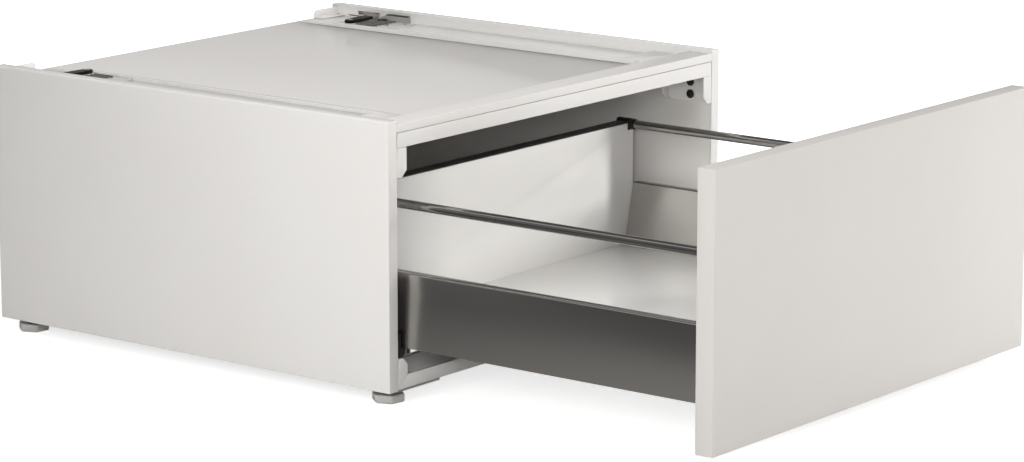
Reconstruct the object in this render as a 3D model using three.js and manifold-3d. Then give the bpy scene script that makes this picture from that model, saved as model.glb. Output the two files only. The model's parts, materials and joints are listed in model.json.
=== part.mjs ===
// Washing-machine pedestal with a pull-out drawer, drawn with the drawer partly open.
// Millimetres, +Z up, front facing -Y. Every length below is in cabinet axes: X = 0 on the
// centre plane, Y = 0 on the front plane of the cabinet, Z = 0 at the lower edge of the side
// panels. The last group moves the whole thing so that its origin is the middle of its
// footprint, on the floor.
import * as THREE from 'three';
import { mergeVertices } from 'three/addons/utils/BufferGeometryUtils.js';
import Module from 'manifold-3d';

const wasm = await Module();
wasm.setup();

// ---------------------------------------------------------------- driving dimensions
// cabinet
const cabinetWidth = 596;
const cabinetDepth = 574.5;
const sideHeight = 290;
const sideThickness = 14; // folded side panel, outside to inside
const sheet = 1; // thickness of the folded steel sheet
const sideLip = 5; // turned-in edge around the open inner face of a side panel
const sideEdgeRadius = 2.5; // rounded outer top edge
const fitGap = 0.3; // clearance between seated pieces
const linerFlange = 22; // folded ledge along the top of the inner wall

// deck
const deckSink = 14; // deck below the top of the side panels
const barSink = 3.8; // raised front bar below the top of the side panels
const barDepth = 31;
const barSeam = 0.5; // shadow joint between front bar and front rail
const barHeight = 9.3; // face of the front bar
const deckRearFold = 15;

// trays that take the feet of the appliance on top
const trayWidth = 70; // rib to side panel
const ribWidth = 6;
const ribHeight = 4.5;
const trayFront = 50;
const trayPad = 32; // raised pad at the front end of a tray
const trayRearMargin = 6.5;
const ribRearMargin = 60.5; // the rib proper ends here, a low tail runs on
const trayNotch = 4;
const trayRecess = 0.5; // step down in the tray floor under the clamp and the rear stop

// rear stops
const stopWidth = 42.5;
const stopHeight = 10;
const stopPlate = 2;
const stopFoot = 14;
const stopCorner = 5;

// clamps for the rear feet of the appliance
const clampPlate = 2;
const clampRearMargin = 54.5;
const clampLength = 84;
const pivotInset = 15; // pivot pin centre, from the inner rib's centre plane side
const pivotRearMargin = 76;
const pinRadius = 2;
const pinHeadRadius = 3;
const pinHead = 0.8;
const bossRadius = 7.5;
const bossHeight = 1.2;
const leverThickness = 3;
const leverWidth = 14;
const leverLength = 49.5; // pivot centre to tip centre
const leverRest = Math.PI / 36; // the latched lever leans this far towards the rear
const padRibs = 7;
const padRibWidth = 3;
const padRibHeight = 2;
const padLength = 28;
const padFrontMargin = 24;
const wedgeLength = 42;
const wedgeFrontMargin = 12.5;
const wedgeWidth = 7.5;
const wedgeTop = 8.9;
const wedgeSlope = 8; // length of the sloping rear end
const wedgeLow = 6;
const slotPlay = 0.4; // room below the lever's tip in its slot
const slotLength = 34; // the tip swings out through its rear part
const slotHeight = 4.6;
const ventLength = 22.5;
const ventHeight = 1.6;
const ventOverlap = 7; // how far the low rear slot starts before the end of the lever's slot
const screwRadius = 3;
const screwHead = 0.9;

// front frame
const railFaceHeight = 16;
const railSheet = 1.2;
const railDepth = 60;
const railLowerFold = 12;
const bracketWidth = 16; // corner bracket, from the side panel inwards
const bracketSheet = 1.5;
const bracketDepth = 60;
const upperBracketDrop = 31.6;
const upperChamfer = 7.5;
const lowerRailTop = 16;
const lowerChannelDepth = 41;
const lowerChannelWall = 20;
const lowerChannelFold = 7;
const lowerBracketTop = 34.7;
const lowerChamfer = 7.5;
const plugHeadRadius = 5.2;
const plugHead = 1.8;
const plugShank = 2.5;
const plugSetback = 28;
const plugDrop = 53.5; // lower plug, below the top of the side panels
const plugSpacing = 14.5;

// feet
const footDrop = 16; // lowest point of a foot, below the side panels
const hexAcross = 31.8;
const footTurn = -22 * Math.PI / 180; // how far a foot is screwed round in its plate
const hexHeight = 9;
const stemRadius = 4;
const stemLength = 38;
const holeClearance = 0.6;
const footInset = 27; // foot centre from the outer side face
const footSetback = 24.5; // foot centre from the front or rear edge
const footPlate = 2.5;
const footPlateWidth = 70;
const footPlateDepth = 50;
const footPlateTop = 1.5;
const lowerRailBottom = footPlateTop + fitGap;
const collarRadius = 9;

// drawer
const drawerPull = 389; // how far the drawer stands out of the cabinet
const closedGap = 1.5; // front panel to cabinet when closed
const frontInset = 1.5; // drawer front inside the width of the cabinet, each side
const frontThickness = 21.5;
const boxLength = 486.2; // clear depth, front panel to back panel
const backThickness = 16;
const backTop = 198.2;
const backCap = 1.5;
const wallGap = 8.5; // drawer side to side panel
const wallTop = 127;
const wallBottom = 46;
const wallTopWidth = 13;
const wallSheet = 1.2;
const frontFlange = 3;
const wallKneeInset = 26.5; // inner crease, from the outer face
const wallKneeHeight = 68;
const coveReach = 12;
const floorTop = 56.5;
const floorThickness = 12;
const floorRebate = 1; // step down along the edges, where the sides and the back stand
const floorLedge = 20;

// gallery rails above the drawer sides
const railRadius = 5;
const railWall = 1;
const railInset = 3; // rail centre, inwards of the top of the drawer side
const railZ = 196.5;
const ringRadius = 6.3;
const ringLength = 5;
const barrelRadius = 4;
const barrelRise = 2.6;
const barrelTail = 4.5; // how far the barrel stands out behind the back panel
const clipFlange = 1.6;
const clipReach = 9; // flange, from the rail centre inwards
const clipDrop = 6;

// runners, three nested members on each side
const runnerInset = 13.5; // runner centre, inwards of the outer face of the drawer side
const runnerSheet = 1.5;
const runnerFloor = 35.2;
const runnerWallTop = 62;
const runnerCore = 8;
const runnerCoreTop = 52;
const runnerLip = 46.8;
const runnerLength = 480;
const runnerFront = 4.4;
const middleLength = 460;
const capThickness = 2.4;
const capWidth = 13.4; // black cap, from the side panel inwards
const capStep = 45.2;

// ---------------------------------------------------------------- derived places
const halfWidth = cabinetWidth / 2;
const innerFace = halfWidth - sideThickness; // inner face of a side panel
const linerFace = innerFace - fitGap - sheet; // inner face of the inner wall
const deckHalf = innerFace - fitGap;
const deckTop = sideHeight - deckSink;
const barTop = sideHeight - barSink;
const barLipBottom = barTop - barHeight;
const deckUnder = deckTop - sheet;
const rearInner = cabinetDepth - sheet; // front face of the deck's rear fold
const footX = halfWidth - footInset;
const trayInner = innerFace - trayWidth;
const trayRear = cabinetDepth - trayRearMargin;
const ribRear = cabinetDepth - ribRearMargin;
const stopInner = innerFace - stopWidth;
const clampRear = cabinetDepth - clampRearMargin;
const clampFront = clampRear - clampLength;
const padFront = clampFront + padFrontMargin;
const wedgeFront = clampFront + wedgeFrontMargin;
const pivotY = cabinetDepth - pivotRearMargin;
const bracketInner = innerFace - bracketWidth;
const footPlateInner = innerFace - fitGap - footPlateWidth;
const plugLow = sideHeight - plugDrop;
const trayFloor = deckTop + fitGap + sheet;
const ribTop = deckTop + fitGap + ribHeight;
const recessFloor = trayFloor - trayRecess;
const clampTop = recessFloor + fitGap + clampPlate;
const rebateTop = floorTop - floorRebate;
const frontBack = -closedGap; // rear face of the drawer front, drawer closed
const boxStart = frontBack + fitGap;
const backFace = frontBack + boxLength + fitGap;
const frontWidth = cabinetWidth - 2 * frontInset;
const wallOuter = innerFace - wallGap; // outer face of a drawer side
const wallInner = wallOuter - wallTopWidth;
const backHalfWidth = wallInner + fitGap;
const railX = wallInner - railInset;
const runnerCenter = wallOuter - runnerInset;
const capInner = innerFace - capWidth;
const wallKnee = wallOuter - wallKneeInset;
const middlePull = drawerPull / 2;

// ---------------------------------------------------------------- finishes
const finish = (color, roughness, metalness) =>
  new THREE.MeshStandardMaterial({ color, roughness, metalness });
const paint = () => finish(0xdbdbd7, 0.45, 0);
const paintShade = () => finish(0xc9c9c5, 0.5, 0);
const zinc = () => finish(0xb9bab6, 0.4, 0.8);
const titan = () => finish(0x55534f, 0.38, 0.7);
const chrome = () => finish(0x6a6a6a, 0.18, 1);
const black = () => finish(0x161616, 0.5, 0);
const board = () => finish(0xd4d2ce, 0.6, 0);

// ---------------------------------------------------------------- solid helpers
function toSolid(geometry) {
  const bare = geometry.clone();
  bare.deleteAttribute('normal');
  bare.deleteAttribute('uv');
  const merged = mergeVertices(bare, 1e-4);
  return new wasm.Manifold(new wasm.Mesh({
    numProp: 3,
    vertProperties: new Float32Array(merged.attributes.position.array),
    triVerts: new Uint32Array(merged.index.array),
  }));
}

function toGeometry(solid) {
  const data = solid.getMesh();
  const geometry = new THREE.BufferGeometry();
  geometry.setAttribute('position', new THREE.BufferAttribute(data.vertProperties, 3));
  geometry.setIndex(new THREE.BufferAttribute(data.triVerts, 1));
  return geometry;
}

// box between two corners; the corners may come in any order
function block(x0, x1, y0, y1, z0, z1) {
  const size = [Math.abs(x1 - x0), Math.abs(y1 - y0), Math.abs(z1 - z0)];
  const box = new THREE.BoxGeometry(...size);
  box.translate((x0 + x1) / 2, (y0 + y1) / 2, (z0 + z1) / 2);
  return toSolid(box);
}

// outline drawn in X and Z, extruded from y0 to y1
function prismY(points, y0, y1) {
  const shape = new THREE.Shape(points.map(([x, z]) => new THREE.Vector2(x, z)));
  const body = new THREE.ExtrudeGeometry(shape, { depth: y1 - y0, bevelEnabled: false });
  body.rotateX(Math.PI / 2);
  body.translate(0, y1, 0);
  return toSolid(body);
}

// outline drawn in Y and Z, extruded from x0 to x1
function prismX(points, x0, x1) {
  const shape = new THREE.Shape(points.map(([y, z]) => new THREE.Vector2(y, z)));
  const body = new THREE.ExtrudeGeometry(shape, { depth: x1 - x0, bevelEnabled: false });
  body.rotateX(Math.PI / 2);
  body.rotateZ(Math.PI / 2);
  body.translate(x0, 0, 0);
  return toSolid(body);
}

// outline drawn in X and Y, extruded from z0 to z1
function prismZ(points, z0, z1) {
  const shape = new THREE.Shape(points.map(([x, y]) => new THREE.Vector2(x, y)));
  const body = new THREE.ExtrudeGeometry(shape, { depth: z1 - z0, bevelEnabled: false });
  body.translate(0, 0, z0);
  return toSolid(body);
}

// upright round bar
function roundZ(x, y, radius, z0, z1, sides = 32) {
  const bar = new THREE.CylinderGeometry(radius, radius, z1 - z0, sides);
  bar.rotateX(Math.PI / 2);
  bar.translate(x, y, (z0 + z1) / 2);
  return toSolid(bar);
}

// round bar along Y
function roundY(x, z, radius, y0, y1, sides = 32) {
  const bar = new THREE.CylinderGeometry(radius, radius, y1 - y0, sides);
  bar.translate(x, (y0 + y1) / 2, z);
  return toSolid(bar);
}

// round bar along X
function roundX(y, z, radius, x0, x1, sides = 32) {
  const bar = new THREE.CylinderGeometry(radius, radius, x1 - x0, sides);
  bar.rotateZ(Math.PI / 2);
  bar.translate((x0 + x1) / 2, y, z);
  return toSolid(bar);
}

const join = (solids) => solids.reduce((sum, solid) => sum.add(solid));
const cut = (body, tools) => tools.reduce((rest, tool) => rest.subtract(tool), body);

// quarter-round corner points between two edge directions
function roundCorner(cx, cz, radius, fromAngle, toAngle, steps = 6) {
  const points = [];
  for (let i = 0; i <= steps; i += 1) {
    const angle = fromAngle + ((toAngle - fromAngle) * i) / steps;
    points.push([cx + radius * Math.cos(angle), cz + radius * Math.sin(angle)]);
  }
  return points;
}

const root = new THREE.Group();
const drawer = new THREE.Group();
drawer.position.y = -drawerPull;
const cabinet = new THREE.Group();
root.add(cabinet, drawer);

function place(name, solid, material, group = cabinet) {
  const mesh = new THREE.Mesh(toGeometry(solid), material);
  mesh.name = name;
  group.add(mesh);
  return mesh;
}

// pieces are drawn for the right-hand side (+X) and mirrored for the left
const sides = [['left', -1], ['right', 1]];
const mirrored = (solid, hand) => (hand > 0 ? solid : solid.mirror([1, 0, 0]));

function placePair(stem, solid, material, group = cabinet) {
  for (const [side, hand] of sides) {
    place(`${stem}_${side}`, mirrored(solid, hand), material(), group);
  }
}

// ---------------------------------------------------------------- side panels
// folded tray, open towards the middle, with slots where the clamp levers latch
function sidePanel() {
  const r = sideEdgeRadius;
  const outline = [
    [innerFace, 0], [halfWidth, 0],
    ...roundCorner(halfWidth - r, sideHeight - r, r, 0, Math.PI / 2),
    [innerFace, sideHeight],
  ];
  const shell = prismY(outline, 0, cabinetDepth);
  const hollow = block(innerFace + sheet, halfWidth - sheet, sheet, cabinetDepth - sheet,
    sheet, sideHeight - sheet - r / 2);
  const mouth = block(innerFace - sheet, innerFace + 2 * sheet, sideLip, cabinetDepth - sideLip,
    sideLip, deckUnder);
  const slotLow = leverBase - slotPlay;
  const slotRear = pivotY + slotLength;
  const leverSlot = block(innerFace - sheet, innerFace + 2 * sheet, pivotY, slotRear, slotLow,
    slotLow + slotHeight);
  const ventFront = slotRear - ventOverlap;
  const rearSlot = block(innerFace - sheet, innerFace + 2 * sheet, ventFront,
    ventFront + ventLength, slotLow - fitGap - 2 * ventHeight + sheet, slotLow - ventHeight + fitGap);
  return cut(shell, [hollow, mouth, leverSlot, rearSlot]);
}

// ---------------------------------------------------------------- inner walls
const plugHeights = [plugLow, plugLow + plugSpacing];
const plugHoles = (x0, x1) => plugHeights.map(
  (z) => roundX(plugSetback, z, plugShank + holeClearance, x0, x1));

// flat wall with a ledge along the top that carries the deck
function sideLiner() {
  const top = deckUnder - fitGap;
  const face = innerFace - fitGap;
  const front = bracketSheet + fitGap;
  const rear = cabinetDepth - 2 * sheet - 2 * fitGap;
  const wall = block(linerFace, face, front, rear, lowerRailBottom, top);
  const ledge = block(face - linerFlange, face, front, rear, top - sheet, top);
  return cut(join([wall, ledge]), plugHoles(linerFace - sheet, face + sheet));
}

// ---------------------------------------------------------------- deck
function deck() {
  const section = [
    [0, barLipBottom], [0, barTop], [barDepth, barTop], [barDepth, deckTop],
    [cabinetDepth, deckTop], [cabinetDepth, deckTop - deckRearFold],
    [rearInner, deckTop - deckRearFold], [rearInner, deckUnder],
    [barDepth - sheet, deckUnder], [barDepth - sheet, barTop - sheet],
    [sheet, barTop - sheet], [sheet, barLipBottom],
  ];
  return prismX(section, -deckHalf, deckHalf);
}

// ---------------------------------------------------------------- appliance foot trays
// flat floor, a little lower from the clamp to the rear end
function footTray() {
  const low = deckTop + fitGap;
  const inner = trayInner + ribWidth + fitGap;
  const outer = deckHalf - fitGap;
  const front = trayFront + trayPad + fitGap;
  const floor = block(inner, outer, front, trayRear, low, trayFloor);
  const recess = block(inner - 1, outer + 1, clampFront - fitGap, trayRear + 1, recessFloor,
    trayFloor + 1);
  return cut(floor, [recess]);
}

// border of a tray: a rib along its inner side and a pad across its front end
function trayBorder() {
  const low = deckTop + fitGap;
  const outer = deckHalf - fitGap;
  const rib = block(trayInner, trayInner + ribWidth, trayFront, ribRear, low, ribTop);
  const tail = block(trayInner, trayInner + ribWidth, ribRear - 1, trayRear, low, recessFloor);
  const pad = block(trayInner, outer, trayFront, trayFront + trayPad, low, ribTop);
  const notch = block(trayInner - 1, trayInner + trayNotch / 2, trayFront + trayNotch,
    trayFront + 2 * trayNotch, low - 1, ribTop + 1);
  return cut(join([rib, tail, pad]), [notch]);
}

// ---------------------------------------------------------------- rear stops
function rearStop() {
  const low = recessFloor + fitGap;
  const top = low + stopHeight;
  const outer = deckHalf - 2 * fitGap;
  const rear = trayRear;
  const c = stopCorner;
  const plate = prismY([
    [stopInner, low], [outer, low], [outer, top],
    ...roundCorner(stopInner + c, top - c, c, Math.PI / 2, Math.PI, 5),
  ], rear - stopPlate, rear);
  const foot = block(stopInner, outer, rear - stopFoot, rear, low, low + stopPlate);
  return join([plate, foot]);
}

// ---------------------------------------------------------------- rear foot clamps
const pivotX = trayInner + pivotInset;
const leverBase = clampTop + bossHeight + fitGap;
const clampOuter = deckHalf - wedgeWidth - 3 * fitGap;

// base plate with a ribbed tread, the pivot boss and its headed pin, and two screw heads
function clampBase() {
  const low = recessFloor + fitGap;
  const inner = trayInner + ribWidth + 2 * fitGap;
  const plate = block(inner, clampOuter, clampFront, clampRear, low, clampTop);
  const pitch = (clampOuter - inner) / (padRibs + 1);
  const ribs = [];
  for (let i = 1; i <= padRibs; i += 1) {
    const x = inner + i * pitch;
    ribs.push(block(x - padRibWidth / 2, x + padRibWidth / 2, padFront, padFront + padLength,
      low, clampTop + padRibHeight));
  }
  const pinTop = leverBase + leverThickness + fitGap;
  const boss = roundZ(pivotX, pivotY, bossRadius, low, clampTop + bossHeight);
  const pin = roundZ(pivotX, pivotY, pinRadius, low, pinTop + pinHead);
  const head = roundZ(pivotX, pivotY, pinHeadRadius, pinTop, pinTop + pinHead);
  const screws = [[0.47, 0.8], [0.81, 0.25]].map(([across, along]) => roundZ(
    inner + across * (clampOuter - inner), clampFront + along * padFrontMargin, screwRadius, low,
    clampTop + screwHead, 24));
  return join([plate, ...ribs, boss, pin, head, ...screws]);
}

// flat bar with round ends; it swings about the pin
function clampLever() {
  const half = leverWidth / 2;
  const quarter = Math.PI / 2;
  const outline = [
    ...roundCorner(pivotX, pivotY, half, leverRest + quarter, leverRest + 3 * quarter, 12),
    ...roundCorner(pivotX + leverLength * Math.cos(leverRest),
      pivotY + leverLength * Math.sin(leverRest), half, leverRest - quarter,
      leverRest + quarter, 12),
  ];
  const bar = prismZ(outline, leverBase, leverBase + leverThickness);
  const bore = roundZ(pivotX, pivotY, pinRadius + fitGap, leverBase - 1,
    leverBase + leverThickness + 1);
  return cut(bar, [bore]);
}

// stop block beside the side panel, lower towards its rear end
function clampWedge() {
  const low = recessFloor + fitGap;
  const outer = deckHalf - fitGap;
  const rear = wedgeFront + wedgeLength;
  return prismX([
    [wedgeFront, low], [rear, low], [rear, low + wedgeLow],
    [rear - wedgeSlope, low + wedgeTop], [wedgeFront, low + wedgeTop],
  ], outer - wedgeWidth, outer);
}

// ---------------------------------------------------------------- rear panel
function rearPanel() {
  const rear = rearInner - fitGap;
  const half = linerFace - fitGap;
  const top = deckUnder - fitGap;
  const sheetWall = block(-half, half, rear - sheet, rear, lowerRailBottom, top);
  const folds = [-1, 1].map((hand) => block(hand * half, hand * (half - sheet),
    rear - sideThickness, rear, lowerRailTop + sideThickness, top - linerFlange));
  return join([sheetWall, ...folds]);
}

// ---------------------------------------------------------------- front rails
function upperRail() {
  const half = linerFace - fitGap / 2;
  const flat = innerFace - linerFlange - 2 * fitGap;
  const top = barLipBottom - barSeam;
  const low = top - railFaceHeight;
  const shelf = deckUnder - fitGap;
  const face = block(-half, half, 0, railSheet, low, top);
  const ledge = block(-flat, flat, 0, railDepth, shelf - railSheet, shelf);
  const fold = block(-flat, flat, 0, railLowerFold, low, low + railSheet);
  const web = block(-flat, flat, railDepth - railSheet, railDepth, low, shelf);
  return join([face, ledge, fold, web]);
}

// channel across the bottom; its face is mitred into the corner brackets
function lowerRail() {
  const slope = (lowerRailTop - lowerRailBottom);
  const low = lowerRailBottom;
  const inner = bracketInner;
  const face = prismY([
    [-inner - slope, low], [inner + slope, low], [inner, lowerRailTop], [-inner, lowerRailTop],
  ], 0, railSheet);
  const half = linerFace - bracketSheet - 2 * fitGap;
  const bottom = block(-half, half, 0, lowerChannelDepth, low, low + railSheet);
  const wall = block(-half, half, lowerChannelDepth - railSheet, lowerChannelDepth, low,
    lowerChannelWall);
  const fold = block(-half, half, lowerChannelDepth - railSheet,
    lowerChannelDepth + lowerChannelFold, lowerChannelWall - railSheet, lowerChannelWall);
  const holes = [-footX, footX].map((x) => roundZ(x, footSetback, stemRadius + holeClearance,
    low - 1, low + railSheet + 1));
  return cut(join([face, bottom, wall, fold]), holes);
}

// plain channel across the bottom at the back
function lowerRearRail() {
  const low = lowerRailBottom;
  const half = linerFace - fitGap;
  const rear = rearInner - sheet - 2 * fitGap;
  const front = cabinetDepth - lowerChannelDepth - 2 * sheet;
  const bottom = block(-half, half, front, rear, low, low + railSheet);
  const wall = block(-half, half, front, front + railSheet, low, lowerChannelWall);
  const fold = block(-half, half, front - lowerChannelFold, front + railSheet,
    lowerChannelWall - railSheet, lowerChannelWall);
  const holes = [-footX, footX].map((x) => roundZ(x, cabinetDepth - footSetback,
    stemRadius + holeClearance, low - 1, low + railSheet + 1));
  return cut(join([bottom, wall, fold]), holes);
}

// ---------------------------------------------------------------- corner brackets
// each one is a strip folded twice: front tab, web along the inner wall, rear tab
function bracket(tab, webLow, webTop, rearTab) {
  const outer = linerFace;
  const web = block(outer - bracketSheet, outer, 0, bracketDepth, webLow, webTop);
  return join([
    prismY(tab, 0, bracketSheet), web,
    prismY(rearTab, bracketDepth - bracketSheet, bracketDepth),
  ]);
}

function upperBracket() {
  const top = barLipBottom - barSeam - railFaceHeight - fitGap;
  const low = top - upperBracketDrop;
  const c = upperChamfer;
  const outer = linerFace;
  const tab = [[bracketInner, low + c], [bracketInner + c, low], [outer, low], [outer, top],
    [bracketInner, top]];
  const body = bracket(tab, low, top, tab);
  return cut(body, plugHoles(outer - 2 * bracketSheet, outer + 1));
}

function lowerBracket() {
  const top = lowerBracketTop;
  const c = lowerChamfer;
  const outer = linerFace;
  const mitre = lowerRailTop - lowerRailBottom;
  const g = fitGap * 1.5;
  const low = lowerRailTop - (outer - bracketInner) + g;
  const tab = [[bracketInner, lowerRailTop + g], [outer, low], [outer, top],
    [bracketInner + c, top], [bracketInner, top - c]];
  const rearTab = [[bracketInner, lowerChannelWall + fitGap], [outer, lowerChannelWall + fitGap],
    [outer, top], [bracketInner + c, top], [bracketInner, top - c]];
  return bracket(tab, lowerRailTop - mitre + railSheet, top, rearTab);
}

// screw plug with a round head, through the bracket and the inner wall
function wallPlug(z) {
  const face = linerFace - bracketSheet - fitGap;
  const head = roundX(plugSetback, z, plugHeadRadius, face - plugHead, face, 24);
  const socket = roundX(plugSetback, z, plugShank, face - plugHead - 1, face - plugHead / 2, 6);
  const shank = roundX(plugSetback, z, plugShank, face - 0.5, innerFace + sheet * 3, 16);
  return cut(join([head, shank]), [socket]);
}

// ---------------------------------------------------------------- levelling feet
const hexTop = hexHeight - footDrop;
const collarTop = footPlateTop - footPlate - fitGap;
const feetPlaces = [['front', footSetback], ['rear', cabinetDepth - footSetback]];

function footPlateSolid(y) {
  const start = y < cabinetDepth / 2 ? sheet : cabinetDepth - sheet - footPlateDepth;
  const plate = block(footPlateInner, deckHalf, start, start + footPlateDepth,
    footPlateTop - footPlate, footPlateTop);
  return cut(plate, [roundZ(footX, y, stemRadius + holeClearance,
    footPlateTop - footPlate - 1, footPlateTop + 1)]);
}

function footCollar(y) {
  const ring = roundZ(footX, y, collarRadius, hexTop + fitGap, collarTop);
  return cut(ring, [roundZ(footX, y, stemRadius + holeClearance, hexTop - 1, collarTop + 1)]);
}

// hexagonal base with a softened lower edge and a threaded stem
function foot(y) {
  const r = hexAcross / Math.sqrt(3);
  const base = new THREE.CylinderGeometry(r, r, hexHeight - 2, 6);
  base.rotateX(Math.PI / 2);
  base.rotateZ(footTurn);
  base.translate(footX, y, hexTop - (hexHeight - 2) / 2);
  const sole = new THREE.CylinderGeometry(r, r - 2, 2, 6);
  sole.rotateX(Math.PI / 2);
  sole.rotateZ(footTurn);
  sole.translate(footX, y, hexTop - hexHeight + 1);
  const stem = roundZ(footX, y, stemRadius, hexTop - 1, hexTop + stemLength, 16);
  return join([toSolid(base), toSolid(sole), stem]);
}

// ---------------------------------------------------------------- runners
const coreHalf = runnerCore / 2;
const middleHalf = coreHalf + fitGap * 2 + runnerSheet;
const outerHalf = middleHalf + fitGap * 2 + runnerSheet;
const middleTop = runnerCoreTop + fitGap * 2 + runnerSheet;
const outerTop = middleTop + fitGap * 2 + runnerSheet;

// fixed member: wall flange, shelf under the drawer side, and the upright core
function cabinetRunner() {
  const y1 = runnerFront + runnerLength;
  const outer = linerFace - bracketSheet - fitGap;
  const flange = block(outer - runnerSheet, outer, runnerFront, y1, runnerFloor, runnerWallTop);
  const shelf = block(runnerCenter - coreHalf, outer, runnerFront, y1, runnerFloor,
    runnerFloor + runnerSheet);
  const core = block(runnerCenter - coreHalf, runnerCenter + coreHalf, runnerFront, y1,
    runnerFloor, runnerCoreTop);
  const bore = block(runnerCenter - coreHalf + runnerSheet, runnerCenter + coreHalf - runnerSheet,
    runnerFront - 1, y1 + 1, runnerFloor + runnerSheet, runnerCoreTop - runnerSheet);
  const spacers = [0.25, 0.5, 0.9].map((share) => {
    const y = runnerFront + share * runnerLength;
    return block(outer - 0.5, linerFace - fitGap, y - 12, y + 12, runnerFloor + 4,
      runnerWallTop - 4);
  });
  return join([flange, shelf, core.subtract(bore), ...spacers]);
}

// inverted channel
function runnerChannel(half, top, low, y0, y1) {
  const body = block(runnerCenter - half, runnerCenter + half, y0, y1, low, top);
  const inside = block(runnerCenter - half + runnerSheet, runnerCenter + half - runnerSheet,
    y0 - 1, y1 + 1, low - 1, top - runnerSheet);
  return body.subtract(inside);
}

// member on the drawer: channel with two wings that reach the walls of the drawer side
function drawerRunner() {
  const y1 = boxStart + runnerLength;
  const y0 = boxStart + 2;
  const channel = runnerChannel(outerHalf, outerTop, runnerLip, y0, y1);
  const wings = block(wallKnee + wallSheet + fitGap, wallOuter - wallSheet - fitGap, y0, y1,
    outerTop - runnerSheet, outerTop);
  return join([channel, wings]);
}

// black end cap on the fixed member
function runnerCap() {
  const outer = linerFace - bracketSheet - fitGap;
  const r = 5;
  const low = runnerFloor;
  return prismY([
    [wallOuter + 2 * fitGap, runnerWallTop], [wallOuter + 2 * fitGap, capStep],
    [capInner, capStep],
    ...roundCorner(capInner + r, low + r, r, Math.PI, (3 * Math.PI) / 2, 5),
    [outer, low], [outer, runnerWallTop],
  ], runnerFront - fitGap - capThickness, runnerFront - fitGap);
}

// ---------------------------------------------------------------- drawer box
function drawerFront() {
  const half = frontWidth / 2;
  return block(-half, half, frontBack - frontThickness, frontBack, 0, sideHeight);
}

// double-walled side: outer wall, top, leaning inner wall, cove over the floor, a ledge under
// it, and an end flange that holds the drawer front
function drawerSide() {
  const t = wallSheet;
  const edge = floorTop - floorThickness - fitGap;
  const r = 1.5;
  const outside = [
    [wallOuter, wallBottom],
    ...roundCorner(wallOuter - r, wallTop - r, r, 0, Math.PI / 2, 3),
    ...roundCorner(wallInner + r, wallTop - r, r, Math.PI / 2, Math.PI, 3),
    [wallKnee, wallKneeHeight],
  ];
  const inside = [
    [wallKnee + t, wallKneeHeight], [wallInner + t, wallTop - t - r],
    [wallInner + t + r, wallTop - t], [wallOuter - t - r, wallTop - t],
    [wallOuter - t, wallTop - t - r], [wallOuter - t, wallBottom],
  ];
  const y1 = backFace - fitGap;
  const skin = prismY([...outside, ...inside], boxStart, y1);
  const web = block(wallKnee, wallKnee + t, boxStart, y1, edge - t, wallKneeHeight);
  const sill = rebateTop + fitGap;
  const cove = prismY([
    [wallKnee - coveReach, sill], [wallKnee + t, sill],
    [wallKnee + t, wallKneeHeight], [wallKnee, wallKneeHeight],
    [wallKnee - coveReach, sill + t],
  ], boxStart, y1);
  const ledge = block(wallKnee - floorLedge, wallKnee + t, boxStart, y1, edge - t, edge);
  const flange = prismY([
    [wallKnee + t, outerTop + fitGap], [wallOuter - t, outerTop + fitGap],
    [wallOuter - t, wallTop - t - r], [wallOuter - t - r, wallTop - t],
    [wallInner + t + r, wallTop - t], [wallInner + t, wallTop - t - r],
    [wallKnee + t, wallKneeHeight],
  ], boxStart, boxStart + frontFlange);
  return join([skin, web, cove, ledge, flange]);
}

// board with a low step along both sides and the back
function drawerFloor() {
  const half = wallKnee - fitGap;
  const inner = wallKnee - coveReach - fitGap;
  const under = floorTop - floorThickness;
  const base = block(-half, half, boxStart, backFace + backThickness, under, rebateTop);
  const top = block(-inner, inner, boxStart, backFace - fitGap, under, floorTop);
  return join([base, top]);
}

// the barrels of the rail clips lie in notches at its upper corners
const notchInner = railX - barrelRadius - fitGap;
const cornerNotches = [-1, 1].map((hand) => block(hand * notchInner,
  hand * (backHalfWidth + 1), backFace - 1, backFace + backThickness + 1,
  railZ + barrelRise - barrelRadius - fitGap, backTop + 2 * backCap + fitGap));

function drawerBack() {
  return cut(block(-backHalfWidth, backHalfWidth, backFace, backFace + backThickness,
    rebateTop + fitGap, backTop), cornerNotches);
}

function backEdgeCap() {
  return block(-notchInner, notchInner, backFace, backFace + backThickness,
    backTop + fitGap, backTop + fitGap + backCap);
}

// gallery rail: thin tube with a closed front foot against the drawer front
function galleryRail() {
  const y1 = backFace - fitGap - ringLength / 2;
  const tube = roundY(railX, railZ, railRadius, boxStart, y1);
  const bore = roundY(railX, railZ, railRadius - railWall, boxStart + 4, y1 + 1);
  const flange = roundY(railX, railZ, railRadius + 2.5, boxStart, boxStart + 3);
  return join([tube, flange]).subtract(bore);
}

// clip that grips the top corner of the back panel: a ring for the rail, a barrel that lies in
// the corner notch, and a flange on each face of the panel
function railClip() {
  const face = backFace - fitGap;
  const rear = backFace + backThickness + fitGap;
  const y0 = face - ringLength;
  const ring = roundY(railX, railZ, ringRadius, y0, face);
  const bore = roundY(railX, railZ, railRadius + fitGap, y0 - 1, face - ringLength / 2 + fitGap);
  const barrel = roundY(railX, railZ + barrelRise, barrelRadius, face - 1, rear + barrelTail, 24);
  const flanges = [face - clipFlange, rear].map((y) => block(railX - clipReach,
    backHalfWidth, y, y + clipFlange, railZ - clipDrop, railZ + barrelRise));
  return join([ring.subtract(bore), barrel, ...flanges]);
}

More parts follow.
